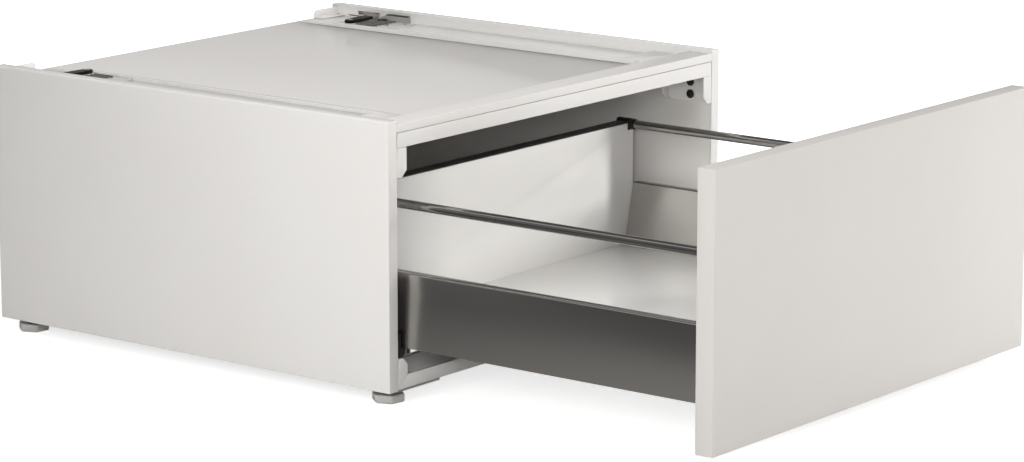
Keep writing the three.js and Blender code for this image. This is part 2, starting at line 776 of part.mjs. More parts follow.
// ---------------------------------------------------------------- assembly
placePair('side_panel', sidePanel(), paint);
placePair('side_liner', sideLiner(), paintShade);
place('top_deck', deck(), paint());
placePair('foot_tray', footTray(), paint);
placePair('tray_border', trayBorder(), paint);
placePair('rear_stop', rearStop(), paint);
placePair('clamp_base', clampBase(), zinc);
placePair('clamp_wedge', clampWedge(), zinc);
placePair('clamp_lever', clampLever(), black);
place('rear_panel', rearPanel(), paintShade());
place('upper_front_rail', upperRail(), paint());
place('lower_front_rail', lowerRail(), paint());
place('lower_rear_rail', lowerRearRail(), paintShade());
placePair('upper_bracket', upperBracket(), paint);
placePair('lower_bracket', lowerBracket(), paint);
placePair('lower_plug', wallPlug(plugHeights[0]), black);
placePair('upper_plug', wallPlug(plugHeights[1]), black);
for (const [end, y] of feetPlaces) {
  placePair(`foot_plate_${end}`, footPlateSolid(y), zinc);
  placePair(`foot_collar_${end}`, footCollar(y), black);
  placePair(`foot_${end}`, foot(y), zinc);
}
placePair('cabinet_runner', cabinetRunner(), zinc);
placePair('runner_cap', runnerCap(), black);

const middle = new THREE.Group();
middle.position.y = -middlePull;
root.add(middle);
placePair('middle_runner', runnerChannel(middleHalf, middleTop, runnerLip, runnerFront,
  runnerFront + middleLength), zinc, middle);

place('drawer_front', drawerFront(), paint(), drawer);
place('drawer_floor', drawerFloor(), board(), drawer);
place('drawer_back', drawerBack(), board(), drawer);
place('back_edge_cap', backEdgeCap(), black(), drawer);
placePair('drawer_side', drawerSide(), titan, drawer);
placePair('gallery_rail', galleryRail(), chrome, drawer);
placePair('rail_clip', railClip(), black, drawer);
placePair('drawer_runner', drawerRunner(), zinc, drawer);

const group = new THREE.Group();
root.position.set(0, -(cabinetDepth - drawerPull - closedGap - frontThickness) / 2, footDrop);
group.add(root);

export default group;
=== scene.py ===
import json
import math

import bmesh
import bpy
from mathutils import Matrix, Vector


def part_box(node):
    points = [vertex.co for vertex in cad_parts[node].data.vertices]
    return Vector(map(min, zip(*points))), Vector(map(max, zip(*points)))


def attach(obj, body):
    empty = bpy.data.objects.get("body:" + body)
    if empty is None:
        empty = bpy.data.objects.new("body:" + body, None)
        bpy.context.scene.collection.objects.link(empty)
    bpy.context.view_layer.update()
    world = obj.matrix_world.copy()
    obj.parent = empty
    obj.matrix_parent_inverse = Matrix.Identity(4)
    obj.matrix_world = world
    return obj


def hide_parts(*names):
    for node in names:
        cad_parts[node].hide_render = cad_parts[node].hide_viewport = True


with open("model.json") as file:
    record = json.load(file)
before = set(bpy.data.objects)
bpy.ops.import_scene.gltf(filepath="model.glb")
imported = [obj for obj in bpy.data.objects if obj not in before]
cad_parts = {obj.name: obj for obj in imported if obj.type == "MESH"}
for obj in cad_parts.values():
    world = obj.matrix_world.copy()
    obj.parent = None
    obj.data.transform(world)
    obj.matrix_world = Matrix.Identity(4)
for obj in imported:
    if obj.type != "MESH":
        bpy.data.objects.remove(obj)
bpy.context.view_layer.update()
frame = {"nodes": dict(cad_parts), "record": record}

nodes = frame["nodes"]
bodyOf = {node: body for body, held in frame["record"]["behaviour"]["bodies"].items()
          for node in held}
slotOf = {part["node"]: part["material_slot"] for part in frame["record"]["subparts"]}
hands = {"left": -1, "right": 1}
mm = 0.001
print("frame loaded:", len(nodes), "nodes")

cameraPlace = {"at": (-3.32716, -2.61013, 1.03479), "yaw": 37.995, "pitch": 12.070,
               "lens": 136.36}


def setCamera(place):
    data = bpy.data.cameras.new("camera")
    data.lens, data.sensor_width = place["lens"], 36.0
    data.clip_start, data.clip_end = 0.05, 60.0
    camera = bpy.data.objects.new("camera", data)
    bpy.context.scene.collection.objects.link(camera)
    yaw, pitch = math.radians(place["yaw"]), math.radians(place["pitch"])
    look = Vector((math.cos(yaw) * math.cos(pitch), math.sin(yaw) * math.cos(pitch),
                   -math.sin(pitch)))
    camera.location = place["at"]
    camera.rotation_mode = "QUATERNION"
    camera.rotation_quaternion = look.to_track_quat("-Z", "Y")
    bpy.context.scene.camera = camera


setCamera(cameraPlace)
print("camera set")


class Signal:  # a socket, so that node maths reads as plain expressions
    def __init__(self, graph, socket):
        self.graph = graph
        self.socket = socket

    def maths(self, operation, first, second):
        return self.graph.node("ShaderNodeMath", {"operation": operation}, {0: first, 1: second})

    def __add__(self, other):
        return self.maths("ADD", self, other)

    def __radd__(self, other):
        return self.maths("ADD", other, self)

    def __sub__(self, other):
        return self.maths("SUBTRACT", self, other)

    def __rsub__(self, other):
        return self.maths("SUBTRACT", other, self)

    def __mul__(self, other):
        return self.maths("MULTIPLY", self, other)


class Graph:  # any node tree
    def __init__(self, tree):
        self.tree = tree

    def node(self, kind, settings, inputs, output=0):
        made = self.tree.nodes.new(kind)
        for name, value in settings.items():
            if name == "stops":
                ramp = made.color_ramp
                while len(ramp.elements) < len(value):
                    ramp.elements.new(0.5)
                for element, (place, level) in zip(ramp.elements, value):
                    element.position, element.color = place, (level, level, level, 1)
            else:
                setattr(made, name, value)
        for name, value in inputs.items():
            if isinstance(value, Signal):
                self.tree.links.new(value.socket, made.inputs[name])
            else:
                made.inputs[name].default_value = value
        return Signal(self, made.outputs[output])

    def slope(self, value, low, high):  # 0 below low, 1 above high, smooth between
        return self.node("ShaderNodeMapRange", {"interpolation_type": "SMOOTHSTEP"},
                         {0: value, 1: low, 2: high})

    def parts(self, vector):
        split = self.node("ShaderNodeSeparateXYZ", {}, {0: vector})
        return [Signal(self, out) for out in split.socket.node.outputs]


class Finish(Graph):  # a material on the Principled shader
    def __init__(self, name, fixed):
        self.material = bpy.data.materials.new(name)
        self.material.use_nodes = True
        super().__init__(self.material.node_tree)
        self.shader = self.tree.nodes["Principled BSDF"]
        for socket, value in fixed.items():
            self.shader.inputs[socket].default_value = value

    def place(self, stretch=(1, 1, 1)):
        raw = self.node("ShaderNodeTexCoord", {}, {}, "Object")
        return self.node("ShaderNodeMapping", {}, {"Vector": raw, "Scale": stretch})

    def noise(self, scale, detail=2.0, stretch=(1, 1, 1)):
        return self.node("ShaderNodeTexNoise", {}, {"Vector": self.place(stretch),
                                                    "Scale": scale, "Detail": detail})

    def ramp(self, value, stops):
        return self.node("ShaderNodeValToRGB", {"stops": stops}, {0: value})

    def mixColor(self, share, first, second):
        return self.node("ShaderNodeMix", {"data_type": "RGBA"},
                         {0: share, 6: first, 7: second}, 2)

    def bump(self, height, strength, depth, under=None):  # depth in metres
        inputs = {"Height": height, "Strength": strength, "Distance": depth}
        if under is not None:
            inputs["Normal"] = under
        return self.node("ShaderNodeBump", {}, inputs)

    def feed(self, **wires):
        names = {"color": "Base Color", "roughness": "Roughness", "metallic": "Metallic",
                 "normal": "Normal"}
        for name, signal in wires.items():
            self.tree.links.new(signal.socket, self.shader.inputs[names[name]])
        return self.material


def tone(red, green, blue):  # a colour as it looks on screen, 0 to 255
    return tuple(((c / 255 + 0.055) / 1.055) ** 2.4 for c in (red, green, blue)) + (1.0,)


def powderPaint(name, color, shade, roughness, peel):
    # powder coat: faint cloudiness, orange peel and a very fine grain
    paint = Finish(name, {"Specular IOR Level": 0.42})
    cloud = paint.noise(scale=5.0, detail=3.0)
    fine = paint.noise(scale=2600.0, detail=2.0)
    peelBumps = paint.noise(scale=520.0, detail=2.0)
    tint = paint.mixColor(paint.ramp(cloud, [(0.3, 0.0), (0.7, 1.0)]), color, shade)
    grain = paint.mixColor(paint.ramp(fine, [(0.35, 0.0), (0.65, 0.4)]), tint, shade)
    normal = paint.bump(fine, strength=0.05, depth=0.00004,
                        under=paint.bump(peelBumps, strength=peel, depth=0.00012))
    return paint.feed(color=grain, roughness=roughness + cloud * 0.05 + fine * 0.03,
                      normal=normal)


def platedSteel(name, color, shade, roughness, metallic):
    # zinc: small crystal patches under faint lines from the mill
    zinc = Finish(name, {"Metallic": metallic})
    patches = zinc.node("ShaderNodeTexVoronoi", {"feature": "F1"},
                        {"Vector": zinc.place(), "Scale": 420.0, "Randomness": 1.0}, "Color")
    level = zinc.node("ShaderNodeSeparateColor", {}, {0: patches})
    lines = zinc.noise(scale=900.0, detail=2.0, stretch=(1.0, 0.03, 1.0))
    cloud = zinc.noise(scale=24.0, detail=3.0)
    tint = zinc.mixColor(level * 0.3 + cloud * 0.4, color, shade)
    return zinc.feed(color=tint, roughness=roughness + level * 0.06 + lines * 0.08,
                     normal=zinc.bump(lines, strength=0.08, depth=0.00004))


def coatedDark(name, color, shade, edge, roughness, top):
    # smooth metallic lacquer on a drawn steel side: tiny flakes and hardly visible draw lines;
    # painted shade: the inner half of the top edge is coloured darker, standing in for its dark
    # reflection
    coat = Finish(name, {"Metallic": 1.0})
    flakes = coat.noise(scale=2400.0, detail=2.0)
    lines = coat.noise(scale=260.0, detail=2.0, stretch=(1.0, 0.02, 1.0))
    cloud = coat.noise(scale=7.0, detail=3.0)
    tint = coat.mixColor(coat.ramp(flakes, [(0.3, 0.0), (0.75, 0.6)]), color, shade)
    tint = coat.mixColor(cloud * 0.3, tint, shade)
    x, y, z = coat.parts(coat.place())
    across = coat.node("ShaderNodeMath", {"operation": "ABSOLUTE"}, {0: x})
    # painted shade: the inner half of the top edge takes the dark third colour
    inner = 1 - coat.slope(across, (top["middle"] - 0.5) * mm, (top["middle"] + 0.5) * mm)
    upper = coat.slope(z, (top["height"] - 0.8) * mm, (top["height"] - 0.3) * mm)
    tint = coat.mixColor(upper * inner, tint, edge)
    return coat.feed(color=tint, roughness=roughness + lines * 0.02 + cloud * 0.03,
                     normal=coat.bump(flakes, strength=0.02, depth=0.00002))


def polishedTube(name, color, shade):
    # dark chrome with faint draw lines along the tube and a few softer patches
    chrome = Finish(name, {"Metallic": 1.0})
    lines = chrome.noise(scale=1400.0, detail=2.0, stretch=(1.0, 0.01, 1.0))
    cloud = chrome.noise(scale=30.0, detail=3.0)
    return chrome.feed(color=chrome.mixColor(cloud, color, shade),
                       roughness=0.08 + lines * 0.04 + cloud * 0.04,
                       normal=chrome.bump(lines, strength=0.02, depth=0.00002))


def mouldedPlastic(name, color, shade, roughness, gloss):
    # fine spark-eroded texture, a little uneven in gloss
    plastic = Finish(name, {"Specular IOR Level": gloss})
    spark = plastic.noise(scale=3200.0, detail=3.0)
    cloud = plastic.noise(scale=40.0, detail=3.0)
    return plastic.feed(color=plastic.mixColor(cloud, color, shade),
                        roughness=roughness + spark * 0.12 + cloud * 0.06,
                        normal=plastic.bump(spark, strength=0.25, depth=0.00006))


def dippedLever(name, color, shade, metal, bareFrom):
    # black dip coat over a steel bar; the latching end stays bare
    dip = Finish(name, {"Specular IOR Level": 0.2})
    spark = dip.noise(scale=2600.0, detail=3.0)
    lines = dip.noise(scale=900.0, detail=2.0, stretch=(0.03, 1.0, 1.0))
    across = dip.parts(dip.place())[0]
    bare = dip.slope(dip.node("ShaderNodeMath", {"operation": "ABSOLUTE"}, {0: across}),
                     bareFrom * mm, (bareFrom + 1.2) * mm)
    coat = dip.mixColor(spark, color, shade)
    return dip.feed(color=dip.mixColor(bare, coat, metal), metallic=bare * 0.9,
                    roughness=0.42 + spark * 0.12 + lines * bare * 0.05,
                    normal=dip.bump(spark, strength=0.15, depth=0.00005))


def coatedBoard(name, color, shade, roughness, pores, gloss=0.5):
    # coated board: shallow pores of the press plate over a smooth ground
    board = Finish(name, {"Specular IOR Level": gloss})
    pits = board.node("ShaderNodeTexVoronoi", {"feature": "SMOOTH_F1"},
                      {"Vector": board.place(), "Scale": 1100.0, "Smoothness": 0.6})
    cloud = board.noise(scale=6.0, detail=3.0)
    fine = board.noise(scale=2400.0, detail=2.0)
    tint = board.mixColor(board.ramp(cloud, [(0.3, 0.0), (0.7, 1.0)]), color, shade)
    grain = board.mixColor(fine * 0.3, tint, shade)
    return board.feed(color=grain, roughness=roughness + cloud * 0.05 + fine * 0.03,
                      normal=board.bump(pits, strength=pores, depth=0.00006))


sideTop = {"height": 143.0, "middle": 270.5}  # mm, top edge of a drawer side, where the painted shade goes

finishes = {
    "paint": powderPaint("paintOutside", tone(230, 229, 227), tone(227, 225, 223), 0.1, 0.03),
    "paint_inner": powderPaint("paintInside", tone(238, 236, 233), tone(233, 231, 228), 0.30,
                               0.07),
    "zinc": platedSteel("zincPlate", tone(206, 205, 203), tone(180, 179, 177), 0.26, 0.85),
    "black": mouldedPlastic("blackMoulding", tone(24, 24, 23), tone(34, 33, 32), 0.36, 0.45),
    "lever": dippedLever("blackLever", tone(14, 14, 14), tone(24, 23, 22),
                         tone(205, 203, 200), 267.0),
    "front_board": coatedBoard("frontLacquer", tone(209, 206, 203), tone(206, 203, 200), 0.40,
                               0.02, 0.38),
    "board": coatedBoard("whiteBoard", tone(243, 242, 240), tone(239, 238, 236), 0.12, 0.05,
                         0.8),
    "back_board": coatedBoard("coatedBack", tone(240, 239, 237), tone(236, 235, 233), 0.16,
                              0.03),
    # drawer sides: tone(96, 95, 93) is painted shade on the inner half of the top edge
    "drawer_metal": coatedDark("titanSide", tone(204, 202, 199), tone(197, 195, 192),
                               tone(96, 95, 93), 0.20, sideTop),
    "rail_metal": polishedTube("darkChrome", tone(172, 171, 169), tone(156, 155, 153)),
    "clampPaint": powderPaint("clampPaint", tone(206, 204, 201), tone(198, 196, 193), 0.2,
                              0.05),
    "treadRubber": mouldedPlastic("treadRubber", tone(104, 102, 99), tone(92, 90, 88), 0.24, 0.5),
    "blockGrey": mouldedPlastic("greyMoulding", tone(172, 170, 167), tone(160, 158, 155), 0.34,
                                0.45),
    "footSteel": platedSteel("footSteel", tone(222, 220, 217), tone(214, 212, 209), 0.42, 0.25),
}
print("finishes made:", len(finishes))


def linked(name, data):
    piece = bpy.data.objects.new(name, data)
    bpy.context.scene.collection.objects.link(piece)
    return piece


def toMesh(bm, name):
    mesh = bpy.data.meshes.new(name)
    bm.to_mesh(mesh)
    bm.free()
    return mesh


def finished(piece):  # a plain mesh with every modifier worked in
    depsgraph = bpy.context.evaluated_depsgraph_get()
    made = bpy.data.meshes.new_from_object(piece.evaluated_get(depsgraph),
                                           preserve_all_data_layers=True, depsgraph=depsgraph)
    piece.modifiers.clear()
    piece.data = made
    return piece


def settle(piece, body, finish, stands=()):
    piece.data.materials.clear()
    piece.data.materials.append(finishes[finish])
    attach(piece, body)
    if stands:
        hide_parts(*stands)
    return piece


def softened(piece, width, segments=3, angle=32.0):
    for face in piece.data.polygons:
        face.use_smooth = True
    bevel = piece.modifiers.new("edges", "BEVEL")
    bevel.width, bevel.segments = width * mm, segments
    bevel.limit_method, bevel.angle_limit = "ANGLE", math.radians(angle)
    bevel.harden_normals, bevel.use_clamp_overlap = True, True
    return finished(piece)


def mergedCopy(node):
    bm = bmesh.new()
    bm.from_mesh(nodes[node].data)
    bmesh.ops.remove_doubles(bm, verts=bm.verts, dist=1e-6)
    bmesh.ops.dissolve_limit(bm, angle_limit=math.radians(0.4), verts=bm.verts, edges=bm.edges)
    return bm


def softCopy(node, width, finish=None):
    piece = linked(node + "_shape", toMesh(mergedCopy(node), node + "_shape"))
    softened(piece, width)
    return settle(piece, bodyOf[node], finish or slotOf[node], [node])


rest = {"back": 81.25, "up": 16, "drawerOut": 389}  # mm, the cabinet's axes in the frame


def cabinetPoint(x, y, z):  # from millimetres in the cabinet's own axes
    return Vector((x, y - rest["back"], z + rest["up"])) * mm


def drawerPoint(x, y, z):
    return cabinetPoint(x, y - rest["drawerOut"], z)


def turned(bm, rings, at, axis=(0, 0, 1), sides=48):
    # closed skin of rings (height, radius) in mm; a radius may be a rule of the angle
    turn = Vector((0, 0, 1)).rotation_difference(Vector(axis)).to_matrix()
    rows = []
    for height, radius in rings:
        rule = radius if callable(radius) else (lambda angle, r=radius: r)
        if not callable(radius) and radius == 0:
            rows.append([bm.verts.new(at + turn @ Vector((0, 0, height * mm)))])
            continue
        row = []
        for i in range(sides):
            angle = 2 * math.pi * i / sides
            r = rule(angle) * mm
            row.append(bm.verts.new(at + turn @ Vector((r * math.cos(angle),
                                                        r * math.sin(angle), height * mm))))
        rows.append(row)
    for low, high in zip(rows, rows[1:]):
        for i in range(sides):
            j = (i + 1) % sides
            corners = [low[i % len(low)], low[j % len(low)], high[j % len(high)],
                       high[i % len(high)]]
            bm.faces.new(list(dict.fromkeys(corners)))
    return bm


def roundedBlock(bm, low, high, radius, segments=3):
    # block between two corners, in metres, with rounded edges, in mm
    low, high = Vector(low), Vector(high)
    middle, size = (low + high) / 2, high - low
    size = Vector([abs(v) for v in size])
    made = bmesh.ops.create_cube(bm, size=1.0, matrix=Matrix.Translation(middle)
                                 @ Matrix.Diagonal(size.to_4d()))
    edges = list({edge for vert in made["verts"] for edge in vert.link_edges})
    bmesh.ops.bevel(bm, geom=edges, offset=radius * mm, segments=segments, profile=0.5,
                    affect="EDGES", clamp_overlap=True)
    return bm


def outward(bm):
    bmesh.ops.recalc_face_normals(bm, faces=bm.faces)
    return bm


def smooth(piece, angle=34.0):
    for face in piece.data.polygons:
        face.use_smooth = True
    piece.data.set_sharp_from_angle(angle=math.radians(angle))
    return piece


class Recipe(Graph):  # a geometry tree with named inputs
    kinds = {"number": "NodeSocketFloat", "count": "NodeSocketInt", "vector": "NodeSocketVector",
             "unit": "NodeSocketObject", "finish": "NodeSocketMaterial"}

    def __init__(self, name, inputs):
        super().__init__(bpy.data.node_groups.new(name, "GeometryNodeTree"))
        for title, kind in inputs.items():
            self.tree.interface.new_socket(title, in_out="INPUT", socket_type=self.kinds[kind])
        self.tree.interface.new_socket("Shape", in_out="OUTPUT",
                                       socket_type="NodeSocketGeometry")
        self.entry = self.tree.nodes.new("NodeGroupInput")

    def given(self, title):
        return Signal(self, self.entry.outputs[title])

    def ends(self, shape):
        real = self.node("GeometryNodeRealizeInstances", {}, {0: shape})
        dressed = self.node("GeometryNodeSetMaterial", {}, {"Geometry": real,
                                                            "Material": self.given("Finish")})
        leave = self.tree.nodes.new("NodeGroupOutput")
        self.tree.links.new(dressed.socket, leave.inputs[0])
        return self

    def grown(self, name, **sizes):
        piece = linked(name, bpy.data.meshes.new(name))
        modifier = piece.modifiers.new("grown", "NODES")
        modifier.node_group = self.tree
        for item in self.tree.interface.items_tree:
            key = item.name[0].lower() + item.name[1:].replace(" ", "")
            if item.in_out == "INPUT" and key in sizes:
                modifier[item.identifier] = sizes[key]
        return finished(piece)


def rowRecipe():  # one unit set out along a straight line
    row = Recipe("rowOfUnits", {"Unit": "unit", "Count": "count", "First": "vector",
                                "Step": "vector", "Turn": "vector", "Finish": "finish"})
    line = row.node("GeometryNodeMeshLine", {"mode": "OFFSET"}, {
        "Count": row.given("Count"), "Start Location": row.given("First"),
        "Offset": row.given("Step")})
    unit = row.node("GeometryNodeObjectInfo", {}, {"Object": row.given("Unit")}, "Geometry")
    return row.ends(row.node("GeometryNodeInstanceOnPoints", {}, {
        "Points": line, "Instance": unit, "Rotation": row.given("Turn")}))


def railRecipe():  # a round bar along a line, with a wider foot at its start
    rail = Recipe("sweptRail", {"Start": "vector", "Direction": "vector", "Length": "number",
                                "Radius": "number", "Foot Length": "number",
                                "Foot Radius": "number", "Sides": "count", "Finish": "finish"})
    joined = rail.node("GeometryNodeJoinGeometry", {}, {})
    for length, radius in (("Length", "Radius"), ("Foot Length", "Foot Radius")):
        path = rail.node("GeometryNodeCurvePrimitiveLine", {"mode": "DIRECTION"}, {
            "Start": rail.given("Start"), "Direction": rail.given("Direction"),
            "Length": rail.given(length)})
        ring = rail.node("GeometryNodeCurvePrimitiveCircle", {"mode": "RADIUS"}, {
            "Resolution": rail.given("Sides"), "Radius": rail.given(radius)})
        bar = rail.node("GeometryNodeCurveToMesh", {}, {
            "Curve": path, "Profile Curve": ring, "Fill Caps": True})
        rail.tree.links.new(bar.socket, joined.socket.node.inputs[0])
    return rail.ends(joined)


def threadRecipe():  # a round core with a ridge wound up it
    stem = Recipe("woundThread", {"Base": "vector", "Height": "number", "Core Radius": "number",
                                  "Ridge": "number", "Turns": "number", "Finish": "finish"})
    path = stem.node("GeometryNodeCurveSpiral", {}, {
        "Resolution": 18, "Rotations": stem.given("Turns"),
        "Start Radius": stem.given("Core Radius"), "End Radius": stem.given("Core Radius"),
        "Height": stem.given("Height")})
    ridge = stem.node("GeometryNodeCurvePrimitiveCircle", {"mode": "RADIUS"}, {
        "Resolution": 4, "Radius": stem.given("Ridge")})
    coil = stem.node("GeometryNodeCurveToMesh", {}, {
        "Curve": path, "Profile Curve": ridge, "Fill Caps": True})
    core = stem.node("GeometryNodeMeshCylinder", {}, {
        "Vertices": 36, "Radius": stem.given("Core Radius"), "Depth": stem.given("Height")})
    half = stem.node("ShaderNodeCombineXYZ", {}, {"Z": stem.given("Height") * 0.5})
    core = stem.node("GeometryNodeTransform", {}, {"Geometry": core, "Translation": half})
    joined = stem.node("GeometryNodeJoinGeometry", {}, {})
    for shape in (coil, core):
        stem.tree.links.new(shape.socket, joined.socket.node.inputs[0])
    return stem.ends(stem.node("GeometryNodeTransform", {}, {
        "Geometry": joined, "Translation": stem.given("Base")}))


row, rail, thread = rowRecipe(), railRecipe(), threadRecipe()
print("recipes made")

edgeRadius = {  # mm, edge rounding of every piece that keeps its own outline
    "side_panel": 0.45, "side_liner": 0.3, "top_deck": 0.3, "foot_tray": 0.2,
    "tray_border": 0.8, "rear_stop": 0.6, "clamp_lever": 0.5, "rear_panel": 0.3,
    "upper_front_rail": 0.4, "lower_front_rail": 0.4, "lower_rear_rail": 0.4,
    "upper_bracket": 0.35, "lower_bracket": 0.35, "foot_plate_front": 0.3,
    "foot_plate_rear": 0.3, "foot_collar_front": 0.5, "foot_collar_rear": 0.5,
    "cabinet_runner": 0.3, "middle_runner": 0.3, "drawer_runner": 0.3, "runner_cap": 0.5,
    "drawer_front": 0.9, "drawer_floor": 0.4, "drawer_back": 0.4, "back_edge_cap": 0.4,
    "drawer_side": 0.3,
}
ownFinish = {"drawer_back": "back_board"}


def stemOf(node):
    return node.removesuffix("_left").removesuffix("_right")


for node in nodes:
    if stemOf(node) in edgeRadius:
        softCopy(node, edgeRadius[stemOf(node)], ownFinish.get(stemOf(node)))
print("plain pieces softened")

galleryRail = {"radius": 5.0, "footRadius": 7.5, "footLength": 3.0, "sides": 72,
               "edge": 0.5}


def makeGalleryRail(side, sizes):
    node = "gallery_rail_" + side
    low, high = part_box(node)
    piece = rail.grown(node + "_bar", start=((low[0] + high[0]) / 2, low[1],
                                             (low[2] + high[2]) / 2),
                       direction=(0, 1, 0), length=high[1] - low[1],
                       radius=sizes["radius"] * mm, footLength=sizes["footLength"] * mm,
                       footRadius=sizes["footRadius"] * mm, sides=sizes["sides"],
                       finish=finishes["rail_metal"])
    settle(softened(piece, sizes["edge"]), bodyOf[node], "rail_metal", [node])


railClip = {"x": 259.5, "z": 196.5, "face": 484.7, "gap": 0.3, "panel": 16.6, "sleeve": 5,
            "ring": [(0, 5.3), (0, 5.7), (0.25, 6.1), (0.7, 6.3), (4.6, 6.3), (4.9, 6.1),
                     (5.0, 5.8), (5.0, 0)],
            "bore": [(2.6, 0), (2.6, 5.3)],
            "barrel": [(-0.6, 0), (-0.6, 4.0), (18.5, 4.0), (19.6, 3.8), (20.5, 3.2),
                       (21.0, 2.1), (21.1, 0)],
            "rise": 2.6, "flange": 1.6, "reach": 9.0, "outerReach": 3.3, "drop": 6.0,
            "edge": 0.6}


def makeRailClip(side, sizes):
    hand, node = hands[side], "rail_clip_" + side
    bm = bmesh.new()
    x, face = hand * sizes["x"], sizes["face"] - sizes["gap"]
    turned(bm, sizes["bore"] + sizes["ring"],
           drawerPoint(x, face - sizes["sleeve"], sizes["z"]), (0, 1, 0))
    turned(bm, sizes["barrel"], drawerPoint(x, face, sizes["z"] + sizes["rise"]), (0, 1, 0))
    inner, outer = x - hand * sizes["reach"], x + hand * sizes["outerReach"]
    for y in (face - sizes["flange"], face + sizes["panel"]):
        roundedBlock(bm, drawerPoint(min(inner, outer), y, sizes["z"] - sizes["drop"]),
                     drawerPoint(max(inner, outer), y + sizes["flange"],
                                 sizes["z"] + sizes["rise"]), sizes["edge"])
    piece = smooth(linked(node + "_moulding", toMesh(outward(bm), node + "_moulding")))
    settle(piece, bodyOf[node], "black", [node])


for side in hands:
    makeGalleryRail(side, galleryRail)
    makeRailClip(side, railClip)
print("gallery rails and clips made")

wallPlug = {"head": 5.2, "star": 1.75, "point": 0.45, "shank": 2.5, "face": 280.9,
            "y": 28.0, "low": 236.5, "spacing": 14.5, "tip": [(-6.1, 0), (-6.1, 2.1)],
            "dome": [(1.3, 4.7), (1.7, 3.8), (1.8, 2.9)], "mouth": 1.8, "socket": 0.9}


def starRule(sizes, inset=0.0):
    return lambda angle: sizes["star"] - inset + sizes["point"] * math.cos(6 * angle)


def makeWallPlugs(sizes):
    bm = bmesh.new()
    head, shank = sizes["head"], sizes["shank"]
    turned(bm, [*sizes["tip"], (-5.7, shank), (0, shank), (0, head - 0.2), (0.25, head),
                (0.7, head), *sizes["dome"], (sizes["mouth"], starRule(sizes)),
                (sizes["socket"], starRule(sizes, 0.15)), (0.8, 0)], Vector((0, 0, 0)))
    unit = linked("plugUnit", toMesh(outward(bm), "plugUnit"))
    for side, hand in hands.items():
        piece = row.grown("wallPlugs_" + side, unit=unit, count=2,
                          first=cabinetPoint(hand * sizes["face"], sizes["y"], sizes["low"]),
                          step=(0, 0, sizes["spacing"] * mm), turn=(0, -hand * math.pi / 2, 0),
                          finish=finishes["black"])
        settle(smooth(piece), "cabinet", "black", ["lower_plug_" + side, "upper_plug_" + side])
    bpy.data.objects.remove(unit)


makeWallPlugs(wallPlug)
print("wall plugs made")

levellingFoot = {"apothem": 15.9, "height": 9.0, "chamfer": 1.1, "facing": 22.0,
                 "coreRadius": 3.55, "ridge": 0.42, "pitch": 1.25, "x": 271.0,
                 "front": 24.5, "rear": 550.0, "low": -16.0, "stemTop": 31.0,
                 "sole": [(0.6, 0), (0.6, 9.0), (0, 9.6)]}


def hexRule(sizes, facing, inset):
    sixth = math.pi / 3

    def rule(angle):
        off = (angle - facing + sixth / 2) % sixth - sixth / 2
        flat = (sizes["apothem"] - inset) / math.cos(off)
        return min(flat, sizes["apothem"] / math.cos(sixth / 2) - 0.5 - inset * 0.6)
    return rule


def makeFoot(end, side, sizes):
    hand, node = hands[side], f"foot_{end}_{side}"
    facing = math.radians(sizes["facing"] if hand < 0 else 180 - sizes["facing"])
    c, top = sizes["chamfer"], sizes["height"]
    at = cabinetPoint(hand * sizes["x"], sizes[end], sizes["low"])
    bm = bmesh.new()
    turned(bm, [*sizes["sole"], (0, hexRule(sizes, facing, c + 0.5)),
                (0.25, hexRule(sizes, facing, c)), (c + 0.3, hexRule(sizes, facing, 0.12)),
                (c + 0.7, hexRule(sizes, facing, 0)), (top - 0.9, hexRule(sizes, facing, 0)),
                (top - 0.6, hexRule(sizes, facing, 0.1)), (top - 0.1, hexRule(sizes, facing, 0.6)),
                (top, hexRule(sizes, facing, 1.0)), (top, 0)], at, sides=96)
    base = smooth(linked(node + "_base", toMesh(outward(bm), node + "_base")), 25.0)
    settle(base, bodyOf[node], "footSteel", [node])
    height = sizes["stemTop"] - (sizes["low"] + sizes["height"])
    stem = thread.grown(node + "_stem", base=at + Vector((0, 0, sizes["height"] * mm)),
                        height=height * mm, coreRadius=sizes["coreRadius"] * mm,
                        ridge=sizes["ridge"] * mm, turns=height / sizes["pitch"],
                        finish=finishes["zinc"])
    settle(smooth(stem, 40.0), bodyOf[node], "zinc", ())


for end in ("front", "rear"):
    for side in hands:
        makeFoot(end, side, levellingFoot)
print("levelling feet made")

footClamp = {  # mm in the cabinet's axes, for the right-hand side
    "inner": 220.6, "outer": 275.3, "front": 436.0, "rear": 520.0, "low": 276.8, "top": 278.8,
    "edge": 0.5, "pivot": (229.0, 498.5), "boss": 7.5, "bossTop": 280.0,
    "pin": [(0, 0), (0, 2.0), (4.8, 2.0), (4.8, 2.9), (5.0, 3.1), (5.3, 3.0), (5.55, 2.3),
            (5.6, 0)],
    "ribs": 7, "ribWidth": 3.0, "ribHeight": 2.0, "ribSink": 0.4, "ribEdge": 1.1,
    "ribFront": 460.0, "ribLength": 28.0, "screws": [(246.3, 455.2), (264.9, 442.0)],
    "screwHead": [(-0.4, 0), (-0.4, 2.9), (0.1, 3.0), (0.5, 2.7), (0.8, 2.2), (0.9, 1.8)],
    "crossReach": 1.6, "crossHalf": 0.5, "crossTurn": 0.5,
}


